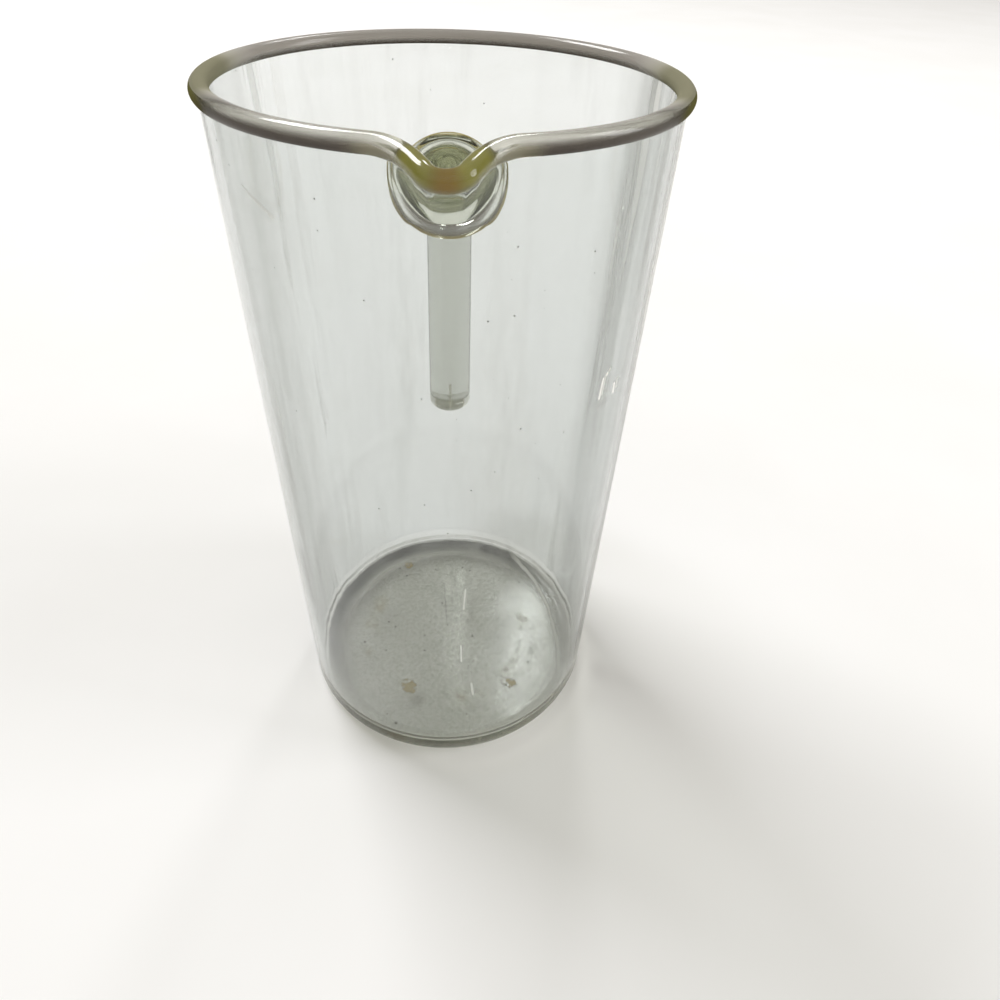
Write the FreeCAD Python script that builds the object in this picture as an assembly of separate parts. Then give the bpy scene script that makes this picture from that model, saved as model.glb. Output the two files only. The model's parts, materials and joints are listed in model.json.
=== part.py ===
"""Glass pouring jug with a V-shaped spout and an open rod handle.

Millimetres, +Z up. The origin is the centre of the flat underside. The spout
points along -Y and the handle stands off the wall along +Y.

The glass is one fused piece, so the solids meet face to face along the lines
where each part was worked: the blown wall, the thick base, the rolled rim, the
pressed spout, and the pad, elbow and grip of the rod handle.
"""
import FreeCAD
import Part
import os
from math import asin, atan2, cos, degrees, pi, radians, sin, sqrt, tan

Vector = FreeCAD.Vector

# Body
rim_radius = 50.5           # centre line of the rim bead
rim_height = 178.0          # centre line of the rim bead above the underside
base_radius = 42.7          # wall's outer face, carried down to the underside
wall_thickness = 2.0
base_thickness = 4.6        # glass under the floor
heel_radius = 5.6           # outer edge of the underside
floor_corner_radius = 4.0   # inside, where the floor turns up into the wall
base_collar = 1.0           # straight wall left on the base above that corner

# Rim
bead_radius = 2.0
bead_overhang = 0.8         # how far the bead's flat seat passes the wall's outer face

# Spout
spout_reach = 8.5           # how far the tip is pressed out past the wall
spout_drop = 1.5            # how far the tip hangs below the rest of the rim
spout_depth = 12.0          # height of wall that bends outwards
spout_half_angle = 33.0     # of the V, seen from above
spout_tip_radius = 3.3
spout_shoulder_radius = 14.0

# Handle
rod_radius = 7.75
rod_distance = 75.0         # jug axis to rod axis
rod_end_height = 44.5       # rod's free end above the underside
rod_end_rounding = 2.4      # fire-polished edge of the free end
handle_drop = 40.6          # rim bead's centre line down to the middle of the pad and of the neck
pad_width = 32.2            # weld on the wall, sideways
pad_height = 31.2           # weld on the wall, up and down
pad_thickness = 1.2         # at its edge, straight above the middle
neck_width = 21.0           # elbow where it leaves the pad
neck_height = 20.0
neck_standoff = 8.5         # wall's outer face to the neck
flare_bend = 0.35           # share of the way from pad to neck where the flare turns
flare_slimming = 0.6        # share of the slimming done by there

# Clearances of the cutting bodies
window_margin = 4.0         # spout's window past the wall, on every side it has to clear
weld_root = 4.0             # pad's blank into the wall, before it is cut to the wall's round
hair = 1e-6                 # sizes closer than this count as equal


# Wall

taper = atan2(rim_radius - bead_overhang / 2 - base_radius + wall_thickness / 2, rim_height)
seat_half_width = (wall_thickness + bead_overhang) / 2
seat_rise = sqrt(bead_radius ** 2 - seat_half_width ** 2)
wall_top_height = rim_height - seat_rise * cos(taper) + bead_overhang / 2 * sin(taper)
base_top_height = base_thickness + floor_corner_radius + base_collar


def wall_radius(height):
    """Middle of the wall's thickness at a height."""
    return base_radius - wall_thickness / 2 + height * tan(taper)


def wall_face_radius(height, outwards):
    """Outer face of the wall at a height, or the inner face when outwards is -1."""
    return wall_radius(height) + outwards * wall_thickness / 2 / cos(taper)


def across_wall(height, outwards):
    """Point on the square cut through the wall at a height, outwards mm from its middle."""
    return Vector(wall_radius(height) + outwards * cos(taper), 0, height - outwards * sin(taper))


def turned(profile, first=0.0, sweep=360.0):
    """Solid of revolution about Z from a face in the XZ plane; angles are from +X."""
    face = profile.copy()
    face.rotate(Vector(0, 0, 0), Vector(0, 0, 1), first)
    return face.revolve(Vector(0, 0, 0), Vector(0, 0, 1), sweep)


def polygon_face(points):
    return Part.Face(Part.makePolygon(points + points[:1]))


def make_body_wall():
    half = wall_thickness / 2
    profile = polygon_face([
        Vector(wall_face_radius(base_top_height, -1), 0, base_top_height),
        Vector(wall_face_radius(base_top_height, 1), 0, base_top_height),
        across_wall(wall_top_height, half),
        across_wall(wall_top_height, -half),
    ])
    return turned(profile).cut(make_spout_window())


def make_base():
    """Thick flat bottom, up to where the wall begins."""
    turn_to_wall = pi / 2 - taper
    heel_centre = base_radius - heel_radius / cos(taper) + heel_radius * tan(taper)
    corner_height = base_thickness + floor_corner_radius
    corner_centre = wall_face_radius(corner_height, -1) - floor_corner_radius / cos(taper)

    def on_heel(turn):
        return Vector(heel_centre + heel_radius * sin(turn), 0, heel_radius - heel_radius * cos(turn))

    def on_corner(turn):
        return Vector(corner_centre + floor_corner_radius * sin(turn), 0,
                      corner_height - floor_corner_radius * cos(turn))

    outer_seam = Vector(wall_face_radius(base_top_height, 1), 0, base_top_height)
    inner_seam = Vector(wall_face_radius(base_top_height, -1), 0, base_top_height)
    edge = Part.LineSegment
    underside = edge(Vector(0, 0, 0), on_heel(0))
    heel = Part.Arc(on_heel(0), on_heel(turn_to_wall / 2), on_heel(turn_to_wall))
    outside = edge(on_heel(turn_to_wall), outer_seam)
    seam = edge(outer_seam, inner_seam)
    inside = edge(inner_seam, on_corner(turn_to_wall))
    corner = Part.Arc(on_corner(turn_to_wall), on_corner(turn_to_wall / 2), on_corner(0))
    floor = edge(on_corner(0), Vector(0, 0, base_thickness))
    axis = edge(Vector(0, 0, base_thickness), Vector(0, 0, 0))
    outline = [underside, heel, outside, seam, inside, corner, floor, axis]
    return turned(Part.Face(Part.Wire([curve.toShape() for curve in outline])))


# Spout
# Seen from above, the rim runs from its circle through a hollow shoulder arc and
# a straight flank into the small arc of the tip. All three touch each other.

half_angle = radians(spout_half_angle)
tip_centre = rim_radius + spout_reach - spout_tip_radius
flank_offset = tip_centre * sin(half_angle) + spout_tip_radius
shoulder_centre = rim_radius + spout_shoulder_radius
shoulder_angle = asin((flank_offset + spout_shoulder_radius) / shoulder_centre) - half_angle
flank_start = (shoulder_centre * sin(shoulder_angle) - spout_shoulder_radius * cos(half_angle),
               shoulder_centre * cos(shoulder_angle) - spout_shoulder_radius * sin(half_angle))
flank_start_angle = atan2(*flank_start)
flank_end_angle = atan2(spout_tip_radius * cos(half_angle),
                        tip_centre + spout_tip_radius * sin(half_angle))
spout_root_height = wall_top_height - spout_depth
stations_per_side = 12
station_crowding = 1.4      # above 1, stations stand closer together towards the tip
rises = 6                   # points up each station of the spout


def rim_outline_radius(angle):
    """Distance of the V-shaped outline from the jug's axis, at an angle from the spout."""
    turn = abs(angle)
    if turn >= shoulder_angle:
        return rim_radius
    if turn >= flank_start_angle:
        aside = shoulder_centre * sin(shoulder_angle - turn)
        return shoulder_centre * cos(shoulder_angle - turn) - sqrt(spout_shoulder_radius ** 2 - aside ** 2)
    if turn >= flank_end_angle:
        return flank_offset / sin(half_angle + turn)
    return tip_centre * cos(turn) + sqrt(spout_tip_radius ** 2 - (tip_centre * sin(turn)) ** 2)


def spout_surface(angle, rise):
    """Middle of the glass in the spout; rise is 0 at its root and 1 at its edge."""
    press = (rim_outline_radius(angle) - rim_radius) / spout_reach
    height = spout_root_height + rise * (spout_depth - spout_drop * press)
    radius = wall_radius(height) + spout_reach * press * rise ** 2
    return Vector(radius * sin(angle), -radius * cos(angle), height)


def spout_directions(angle, rise):
    """Unit vectors out of the glass and up along it, square to the line along the rim."""
    step = 1e-4
    up = spout_surface(angle, rise + step) - spout_surface(angle, rise - step)
    if abs(angle) >= shoulder_angle:
        along = Vector(cos(angle), sin(angle), 0)
    else:
        along = spout_surface(angle + step, rise) - spout_surface(angle - step, rise)
    outwards = along.cross(up).normalize()
    return outwards, outwards.cross(along).normalize()


def spout_stations():
    """Angles across the spout, closer together towards the tip."""
    shares = [(step / stations_per_side) ** station_crowding for step in range(stations_per_side + 1)]
    side = [shoulder_angle * share for share in shares]
    return [-angle for angle in reversed(side[1:])] + side


def spline(points):
    curve = Part.BSplineCurve()
    curve.interpolate(points)
    return curve.toShape()


def make_pouring_spout():
    ribs = []
    for angle in spout_stations():
        outer, inner = [], []
        for level in range(rises + 1):
            rise = level / rises
            outwards = spout_directions(angle, rise)[0] * (wall_thickness / 2)
            outer.append(spout_surface(angle, rise) + outwards)
            inner.append(spout_surface(angle, rise) - outwards)
        ribs.append(Part.Wire([
            spline(outer),
            Part.LineSegment(outer[-1], inner[-1]).toShape(),
            spline(inner[::-1]),
            Part.LineSegment(inner[0], outer[0]).toShape(),
        ]))
    return Part.makeLoft(ribs, True, False)


def make_spout_window():
    """What the pressed spout takes the place of in the plain wall."""
    above = wall_top_height + window_margin
    profile = polygon_face([
        across_wall(spout_root_height, -window_margin),
        across_wall(spout_root_height, window_margin),
        across_wall(above, window_margin),
        across_wall(above, -window_margin),
    ])
    opening = 2 * degrees(shoulder_angle)
    return turned(profile, -90.0 - opening / 2, opening)


# Rim bead

def bead_section(seat, outwards, up):
    """Round section with a flat seat on the edge of the wall; seat is the middle of that edge."""
    middle = seat + outwards * (bead_overhang / 2)
    centre = middle + up * seat_rise
    inner = middle - outwards * seat_half_width
    outer = middle + outwards * seat_half_width
    ball = Part.Arc(outer, centre + up * bead_radius, inner).toShape()
    return Part.Wire([ball, Part.LineSegment(inner, outer).toShape()])


def make_rim_bead():
    edge = across_wall(wall_top_height, 0)
    out = (across_wall(wall_top_height, 1) - edge).normalize()
    up = Vector(sin(taper), 0, cos(taper))
    opening = 2 * degrees(shoulder_angle)
    ring = turned(Part.Face(bead_section(edge, out, up)), -90.0 + opening / 2, 360.0 - opening)
    sections = []
    for angle in spout_stations():
        sections.append(bead_section(spout_surface(angle, 1.0), *spout_directions(angle, 1.0)))
    lip = Part.makeLoft(sections, True, False)
    return ring.fuse(lip)


# Handle

handle_height = rim_height - handle_drop
pad_face = wall_face_radius(handle_height, 1)
neck_distance = pad_face + neck_standoff
elbow_radius = rod_distance - neck_distance
rod_top_height = handle_height - elbow_radius
elbow_sections = 6


def oval(width, height, centre, tilt):
    """Oval wire, upright facing +Y at tilt 0 and lying flat at tilt 90."""
    if abs(width - height) < hair:
        edge = Part.Circle(Vector(0, 0, 0), Vector(0, 0, 1), width / 2).toShape()
    else:
        edge = Part.Ellipse(Vector(0, 0, 0), width / 2, height / 2).toShape()
    edge.rotate(Vector(0, 0, 0), Vector(1, 0, 0), 90 + tilt)
    edge.translate(centre)
    return Part.Wire(edge)


def make_handle_pad():
    """Gather of glass that welds the rod to the wall and flares into it."""
    root_depth = pad_face - sqrt(pad_face ** 2 - (pad_width / 2) ** 2) + weld_root
    bend_standoff = pad_thickness + (neck_standoff - pad_thickness) * flare_bend
    width_loss, height_loss = pad_width - neck_width, pad_height - neck_height
    flare = [(-root_depth, 0.0), (pad_thickness, 0.0), (bend_standoff, flare_slimming), (neck_standoff, 1.0)]
    sections = [
        oval(pad_width - width_loss * share, pad_height - height_loss * share,
             Vector(0, pad_face + standoff, handle_height), 0)
        for standoff, share in flare
    ]
    blank = Part.makeLoft(sections, True, False)
    low = handle_height - pad_height
    wall = Part.makeCone(wall_face_radius(low, 1), wall_face_radius(low + 2 * pad_height, 1),
                         2 * pad_height, Vector(0, 0, low))
    return blank.cut(wall)


def make_handle_elbow():
    """Quarter bend that slims from the neck to the rod."""
    sections = []
    for step in range(elbow_sections + 1):
        share = step / elbow_sections
        bend = radians(90 * share)
        centre = Vector(0, neck_distance + elbow_radius * sin(bend),
                        rod_top_height + elbow_radius * cos(bend))
        width = neck_width + (2 * rod_radius - neck_width) * share
        height = neck_height + (2 * rod_radius - neck_height) * share
        sections.append(oval(width, height, centre, -90 * share))
    return Part.makeLoft(sections, True, False)


def make_handle_grip():
    """Straight rod that hangs free, with a flat fire-polished end."""
    length = rod_top_height - rod_end_height
    rod = Part.makeCylinder(rod_radius, length, Vector(0, rod_distance, rod_end_height))
    end = [edge for edge in rod.Edges if abs(edge.BoundBox.ZMax - rod_end_height) < hair]
    return rod.makeFillet(rod_end_rounding, end)


sub_parts = {
    "body_wall": make_body_wall,
    "base": make_base,
    "pouring_spout": make_pouring_spout,
    "rim_bead": make_rim_bead,
    "handle_pad": make_handle_pad,
    "handle_elbow": make_handle_elbow,
    "handle_grip": make_handle_grip,
}

os.makedirs("parts", exist_ok=True)
for name, make in sub_parts.items():
    solid = make()
    solid.exportStep(f"parts/{name}.step")
    print(f"{name}: {solid.ShapeType}, {len(solid.Solids)} solid, valid {solid.isValid()}, "
          f"{solid.Volume:.1f} cubic mm")
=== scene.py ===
import bmesh
import bpy
import json
from math import asin, atan2, cos, hypot, pi, radians, sin, sqrt, tan
from mathutils import Matrix, Vector

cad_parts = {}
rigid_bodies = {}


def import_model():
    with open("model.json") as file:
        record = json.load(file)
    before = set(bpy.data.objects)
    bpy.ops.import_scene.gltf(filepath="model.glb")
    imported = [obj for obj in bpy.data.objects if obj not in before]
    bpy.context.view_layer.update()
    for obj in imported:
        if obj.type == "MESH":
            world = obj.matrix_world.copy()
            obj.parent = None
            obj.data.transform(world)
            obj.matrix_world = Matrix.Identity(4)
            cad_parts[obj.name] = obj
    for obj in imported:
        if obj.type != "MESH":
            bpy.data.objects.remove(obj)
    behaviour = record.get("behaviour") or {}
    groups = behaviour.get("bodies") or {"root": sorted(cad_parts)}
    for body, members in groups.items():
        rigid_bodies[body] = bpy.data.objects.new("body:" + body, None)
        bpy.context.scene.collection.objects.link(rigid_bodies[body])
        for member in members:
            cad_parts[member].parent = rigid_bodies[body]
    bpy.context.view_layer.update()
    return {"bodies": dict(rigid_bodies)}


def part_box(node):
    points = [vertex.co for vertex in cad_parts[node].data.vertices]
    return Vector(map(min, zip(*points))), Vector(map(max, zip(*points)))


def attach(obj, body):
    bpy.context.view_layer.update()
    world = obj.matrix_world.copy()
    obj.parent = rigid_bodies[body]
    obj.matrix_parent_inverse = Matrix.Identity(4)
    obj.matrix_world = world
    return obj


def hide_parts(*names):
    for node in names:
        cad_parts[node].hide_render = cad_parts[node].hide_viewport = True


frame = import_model()
bodyName = next(iter(frame["bodies"]))      # nothing moves, so every piece rides the one body

# sizes that several pieces share, in metres
jug = {
    "rimRadius": 0.0505,                    # middle line of the rolled rim
    "rimHeight": 0.178,
    "baseRadius": 0.0427,                   # outer face of the wall, carried down to the underside
    "wallThickness": 0.002,
    "beadRadius": 0.002,
    "beadOverhang": 0.0008,                 # how far the rim's flat seat passes the outside of the wall
    "columns": 320,                         # faces round the jug
    "lap": 0.00002,                         # how far fused pieces run into each other
}
spout = {
    "reach": 0.0085,
    "drop": 0.0015,
    "depth": 0.012,
    "halfAngle": radians(33.0),
    "tipRadius": 0.0033,
    "shoulderRadius": 0.014,
    "crowding": 0.75,                       # 0 spaces the columns evenly, near 1 packs them at the spout
    "rows": 14,
}
weld = {                                    # where the handle's pad sits on the wall
    "height": 0.1374,                       # middle of the pad and of the neck
    "padWidth": 0.0322,
    "padHeight": 0.0312,
}
halfWall = jug["wallThickness"] / 2
taper = atan2(jug["rimRadius"] - jug["beadOverhang"] / 2 - jug["baseRadius"] + halfWall, jug["rimHeight"])
seatHalfWidth = (jug["wallThickness"] + jug["beadOverhang"]) / 2
seatRise = sqrt(jug["beadRadius"] ** 2 - seatHalfWidth ** 2)
wallTop = jug["rimHeight"] - seatRise * cos(taper) + jug["beadOverhang"] / 2 * sin(taper)
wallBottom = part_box("base")[1].z
spoutRoot = wallTop - spout["depth"]
closeTo = 1e-5                              # faces and edges nearer to a place than this are on it
touching = 1e-6                             # points nearer than this are one


def wallRadius(height):                     # middle of the wall's thickness
    return jug["baseRadius"] - halfWall + height * tan(taper)


def wallFace(height, outwards):             # outer face for 1, inner face for -1
    return wallRadius(height) + outwards * halfWall / cos(taper)


# Seen from above, the rim leaves its circle by a hollow shoulder arc, runs down a straight
# flank and turns round the small arc of the tip.
tipCentre = jug["rimRadius"] + spout["reach"] - spout["tipRadius"]
flankOffset = tipCentre * sin(spout["halfAngle"]) + spout["tipRadius"]
shoulderCentre = jug["rimRadius"] + spout["shoulderRadius"]
shoulderAngle = asin((flankOffset + spout["shoulderRadius"]) / shoulderCentre) - spout["halfAngle"]
flankStart = atan2(shoulderCentre * sin(shoulderAngle) - spout["shoulderRadius"] * cos(spout["halfAngle"]),
                   shoulderCentre * cos(shoulderAngle) - spout["shoulderRadius"] * sin(spout["halfAngle"]))
flankEnd = atan2(spout["tipRadius"] * cos(spout["halfAngle"]),
                 tipCentre + spout["tipRadius"] * sin(spout["halfAngle"]))


def rimOutline(angle):                      # distance from the axis, angle measured from the spout
    turn = abs(angle)
    if turn >= shoulderAngle:
        return jug["rimRadius"]
    if turn >= flankStart:
        aside = shoulderCentre * sin(shoulderAngle - turn)
        return shoulderCentre * cos(shoulderAngle - turn) - sqrt(spout["shoulderRadius"] ** 2 - aside ** 2)
    if turn >= flankEnd:
        return flankOffset / sin(spout["halfAngle"] + turn)
    return tipCentre * cos(turn) + sqrt(spout["tipRadius"] ** 2 - (tipCentre * sin(turn)) ** 2)


def onAngle(angle, radius, height):         # a point at an angle from the spout
    return Vector((radius * sin(angle), -radius * cos(angle), height))


def spoutPoint(angle, rise):                # middle of the glass; rise is 0 at the root, 1 at the edge
    press = (rimOutline(angle) - jug["rimRadius"]) / spout["reach"]
    height = spoutRoot + rise * (spout["depth"] - spout["drop"] * press)
    return onAngle(angle, wallRadius(height) + spout["reach"] * press * rise ** 2, height)


def spoutAxes(angle, rise):                 # out of the glass, and up along it
    step = 4e-3
    up = spoutPoint(angle, rise + step) - spoutPoint(angle, rise - step)
    along = Vector((cos(angle), sin(angle), 0))
    if abs(angle) < shoulderAngle:
        along = spoutPoint(angle + step, rise) - spoutPoint(angle - step, rise)
    outwards = along.cross(up).normalized()
    return outwards, outwards.cross(along).normalized()


def spoutAngle(point):                      # how far a point is turned from the spout
    return atan2(point.x, -point.y)


def crowdedAngle(point):                    # the same for a column, once it is packed towards the spout
    angle = spoutAngle(point)
    return angle - spout["crowding"] * sin(angle)


def startPiece(name):                       # the new primitive, with its place in its mesh, all picked
    piece = bpy.context.object
    piece.name = name
    piece.data.name = name
    bpy.ops.object.transform_apply(location=True, rotation=True, scale=True)
    bpy.ops.object.mode_set(mode="EDIT")
    bpy.ops.mesh.select_all(action="SELECT")
    return piece


def leaveEditMode():
    bpy.ops.object.mode_set(mode="OBJECT")


def pick(piece, kind, test):                # selects only the faces, edges or verts that pass the test
    bpy.ops.mesh.select_mode(type={"faces": "FACE", "edges": "EDGE", "verts": "VERT"}[kind])
    bpy.ops.mesh.select_all(action="DESELECT")
    mesh = bmesh.from_edit_mesh(piece.data)
    for part in getattr(mesh, kind):
        if test(part):
            part.select_set(True)
    mesh.select_flush_mode()
    bmesh.update_edit_mesh(piece.data)


def middle(part):
    return sum((vert.co for vert in part.verts), Vector()) / len(part.verts)


def isCap(face):                            # the flat end of a round form
    return len(face.verts) > 4


def addMaterialSlots(piece):                # the second is for faces fused to another piece of glass
    for slot in range(2):
        piece.data.materials.append(None)


def markFused(piece, test):
    addMaterialSlots(piece)
    pick(piece, "faces", test)
    piece.active_material_index = 1
    bpy.ops.object.material_slot_assign()


def markSeams(piece):                       # faces in the second slot become the "seam" attribute
    seam = piece.data.attributes.new("seam", "FLOAT", "FACE")
    for face in piece.data.polygons:
        seam.data[face.index].value = face.material_index
        face.material_index = 0
    piece.data.materials.clear()


def finishPiece(piece, nodes, material, sharpAngle=35):
    bpy.ops.object.select_all(action="DESELECT")
    piece.select_set(True)
    bpy.context.view_layer.objects.active = piece
    bpy.ops.object.transform_apply(location=True, rotation=True, scale=True)
    bpy.ops.object.shade_smooth_by_angle(angle=radians(sharpAngle))
    markSeams(piece)
    piece.data.materials.append(material)
    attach(piece, bodyName)
    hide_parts(*nodes)
    piece.select_set(False)
    print("made", piece.name, len(piece.data.polygons), "faces")


class Value:                                # an output socket that can be used in sums
    def __init__(self, socket):
        self.socket = socket

    def maths(self, operation, *terms, **settings):
        tree = self.socket.id_data
        return addNode(tree, "Math", {"operation": operation, **settings}, *terms)

    def __add__(self, other):
        return self.maths("ADD", self, other)

    def __sub__(self, other):
        return self.maths("SUBTRACT", self, other)

    def __rsub__(self, other):
        return self.maths("SUBTRACT", other, self)

    def __mul__(self, other):
        return self.maths("MULTIPLY", self, other)

    def __truediv__(self, other):
        return self.maths("DIVIDE", self, other)

    def __pow__(self, other):
        return self.maths("POWER", self, other)

    def __gt__(self, other):
        return self.maths("GREATER_THAN", self, other)

    def __lt__(self, other):
        return self.maths("LESS_THAN", self, other)

    def __neg__(self):
        return self.maths("MULTIPLY", self, -1.0)

    def __abs__(self):
        return self.maths("ABSOLUTE", self)

    __radd__ = __add__
    __rmul__ = __mul__


def addNode(tree, kind, settings, *values, output=0, **named):
    node = tree.nodes.new("ShaderNode" + kind)
    for key, setting in settings.items():
        if key == "stops":
            while len(node.color_ramp.elements) < len(setting):
                node.color_ramp.elements.new(1.0)
            for element, (place, colour) in zip(node.color_ramp.elements, setting):
                element.position = place
                element.color = colour
        else:
            setattr(node, key, setting)
    for place, value in [*enumerate(values), *named.items()]:
        socket = node.inputs[place.replace("_", " ") if isinstance(place, str) else place]
        if isinstance(value, Value):
            tree.links.new(value.socket, socket)
        elif value is not None:
            socket.default_value = value
    return Value(node.outputs[output]) if node.outputs else None


def startMaterial(name):
    material = bpy.data.materials.new(name)
    material.use_nodes = True
    material.node_tree.nodes.clear()
    return material, material.node_tree


def objectPlace(tree, stretch=(1, 1, 1)):
    coordinates = addNode(tree, "TexCoord", {}, output="Object")
    return addNode(tree, "Mapping", {}, Vector=coordinates, Scale=stretch)


def axes(tree):
    parts = addNode(tree, "SeparateXYZ", {}, objectPlace(tree)).socket.node.outputs
    return [Value(part) for part in parts]


def fromAxis(x, y):                         # distance from the jug's axis
    return (x * x + y * y) ** 0.5


def attribute(tree, name):
    return addNode(tree, "Attribute", {"attribute_name": name}, output="Fac")


def band(tree, value, low, high):           # 0 below low, 1 above high, soft between
    return addNode(tree, "MapRange", {"interpolation_type": "SMOOTHSTEP"}, Value=value,
                   From_Min=low, From_Max=high, To_Min=0.0, To_Max=1.0)


def noise(tree, scale, detail=2.0, roughness=0.5, stretch=(1, 1, 1)):
    return addNode(tree, "TexNoise", {}, Vector=objectPlace(tree, stretch), Scale=scale, Detail=detail,
                   Roughness=roughness)


def clouds(tree, low, high, **settings):    # soft patches, 0 where the noise is low and 1 where it is high
    return band(tree, noise(tree, **settings), low, high)


def varied(mask, plain, extra):             # plain everywhere, and extra more where the mask is 1
    return mask * extra + plain


def spot(tree, across, up, radius):         # 1 in the middle of a spot, 0 past its radius
    return 1.0 - band(tree, fromAxis(across, up), radius * 0.4, radius)


def streak(tree, across, up, start, end, width):  # 1 along a straight line, 0 past its width
    run, climb = end[0] - start[0], end[1] - start[1]
    along = (across - start[0]) * run + (up - start[1]) * climb
    share = along.maths("DIVIDE", along, run ** 2 + climb ** 2, use_clamp=True)
    away = fromAxis(across - start[0] - share * run, up - start[1] - share * climb)
    return 1.0 - band(tree, away, width * 0.3, width)


def specks(tree, scale, size, share):       # few small round grains
    outputs = addNode(tree, "TexVoronoi", {}, Vector=objectPlace(tree), Scale=scale).socket.node.outputs
    chance = addNode(tree, "SeparateXYZ", {}, Value(outputs["Color"]))
    return (Value(outputs["Distance"]) < chance * size) * (chance > 1.0 - share)


def mixColours(tree, share, first, second):
    blanks = [None] * 5                     # the Mix node's sockets for numbers and vectors
    return addNode(tree, "Mix", {"data_type": "RGBA"}, share, *blanks, first, second, output=2)


glass = {
    "ior": 1.5,
    "clear": (0.95, 0.96, 0.955, 1),        # what one face lets through
    "shadow": (0.90, 0.90, 0.885, 1),       # what lamps send through one face
    "rubbed": {"scale": 45.0, "detail": 3.0, "low": 0.52, "high": 0.75},
    "rubbedRoughness": 0.06,
    "broadWaves": {"scale": 38.0, "detail": 1.0, "stretch": (1, 1, 0.3)},
    "threads": {"scale": 260.0, "detail": 1.0, "stretch": (1, 1, 0.02)},
}
dirtAndGlintColours = {                                    # colours for dirt, scratches and painted highlights that the wall and the floor share
    "haze": (0.80, 0.81, 0.78, 1),
    "speck": (0.06, 0.055, 0.045, 1),
    "white": (0.95, 0.95, 0.92, 1),
}


def lampsPass(tree, shader):                # lamps and bounced daylight shine through, softly tinted
    film = addNode(tree, "BsdfTransparent", {}, Color=glass["shadow"])
    for kind in ("Is Diffuse Ray", "Is Shadow Ray"):
        ray = addNode(tree, "LightPath", {}, output=kind)
        shader = addNode(tree, "MixShader", {}, ray, shader, film)
    return shader


def waves(tree, broad, fine):               # drawn glass: long upright waves and faint threads
    slow = (noise(tree, **glass["broadWaves"]) - 0.5) * broad
    threads = (noise(tree, **glass["threads"]) - 0.5) * fine
    return addNode(tree, "Bump", {}, Strength=1.0, Distance=1.0, Height=slow + threads)


# The piece's dictionary gives how fast its glass fades, its waves and its satin wear. hole, tint,
# dirtAndPaintedLight and worn are functions that draw what is missing, tinted (with painted shade on the
# rim), dirty or painted with light and shade, or rough on it.
def makeClearGlass(name, piece, hole=None, tint=None, dirtAndPaintedLight=None, worn=None):
    material, tree = startMaterial(name)
    roughness = varied(clouds(tree, **glass["rubbed"]), piece.get("satin", 0.0), glass["rubbedRoughness"])
    if worn is not None:
        roughness = roughness + worn(tree)
    alpha = 1.0 - attribute(tree, "seam")
    if hole is not None:
        alpha = alpha * (1.0 - hole(tree))
    shader = addNode(tree, "BsdfPrincipled", {}, Base_Color=glass["clear"] if tint is None else tint(tree),
                     Roughness=roughness, IOR=glass["ior"], Transmission_Weight=1.0, Alpha=alpha,
                     Normal=waves(tree, *piece["waves"]))
    shader = lampsPass(tree, shader)
    if dirtAndPaintedLight is not None:
        # a matte coat of dirt, and of painted glow, sheen, shade and highlights where a piece has them
        amount, colour = dirtAndPaintedLight(tree)
        dirtAndLightCoat = addNode(tree, "BsdfPrincipled", {}, Base_Color=colour, Roughness=1.0, Specular_IOR_Level=0.0)
        shader = addNode(tree, "MixShader", {}, amount, shader, dirtAndLightCoat)
    density = max(piece["fade"])
    body = addNode(tree, "VolumeAbsorption", {}, Density=density,
                   Color=(*(1 - one / density for one in piece["fade"]), 1))
    addNode(tree, "OutputMaterial", {}, Surface=shader, Volume=body)
    print("mixed", name)
    return material


wall = {
    "rowsBelow": 12,                        # rows of faces under the spout's root
    "fade": (64.0, 58.0, 59.0),             # how fast red, green and blue fade, per metre of glass
    "waves": (0.0004, 0.000012),            # heights of the long waves and of the threads
    "grains": {"scale": 400.0, "size": 0.09, "share": 0.04},
    "grainAmount": 0.7,
    "haze": {"scale": 55.0, "detail": 4.0, "roughness": 0.6, "stretch": (1, 1, 0.14),
             "low": 0.50, "high": 0.80},
    "hazeAmount": 0.16,
    "scratch": ((-0.0369, 0.1650), (-0.0313, 0.1614), 0.00035),
    "scratchAmount": 0.5,
    # painted highlights: bright streaks where blisters catch the light
    "blisterGlints": [((0.0335, 0.1242), (0.0330, 0.1190)), ((0.0344, 0.1252), (0.0343, 0.1246)),
                 ((0.0369, 0.1205), (0.0369, 0.1180))],
    "blisterGlintWidth": 0.0005,
    "knot": (0.0338, 0.1165, 0.0016),       # across, up and radius
    "knotAmount": 0.25,
    "threads": {"scale": 130.0, "detail": 3.0, "stretch": (1, 1, 0.04)},
    "sideShade": (0.16, 0.16, 0.125, 1),         # painted shade on both flanks, where the glass edges look darker
    "sideShadeRight": (0.84, 0.97),              # sine of the angle from the spout, where it starts and is full
    "sideShadeRightAmount": 0.20,
    "sideShadeLeft": (0.92, 0.985),
    "sideShadeLeftAmount": 0.11,
    "sideShadeThreads": (0.35, 0.65),
    "sideShadeAmount": (0.45, 0.70),             # everywhere, and what its threads add
    # painted highlights: pale streaks along the threads, towards the flanks
    "paleThreads": (0.60, 0.66),
    "paleFlanks": (0.62, 0.85),
    "paleAmount": 0.30,
    "paleTint": 3.0,                        # how strongly the pale threads take their colour
    "edge": (0.17, 0.165, 0.10, 1),         # painted brown shade where the wall turns away from the eye
    "edgeTurn": -0.21,
    "edgeReach": (0.02, 0.12),
    "edgeClouds": {"scale": 28.0, "detail": 2.0, "stretch": (1, 1, 0.6), "low": 0.42, "high": 0.62},
    "edgeAmount": (0.07, 0.26),             # everywhere, and what its clouds add
}


def padOval(x, z):                          # 0 in the middle of the handle's pad, 1 on its outline
    return (x / (weld["padWidth"] / 2)) ** 2 + ((z - weld["height"]) / (weld["padHeight"] / 2)) ** 2


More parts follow.
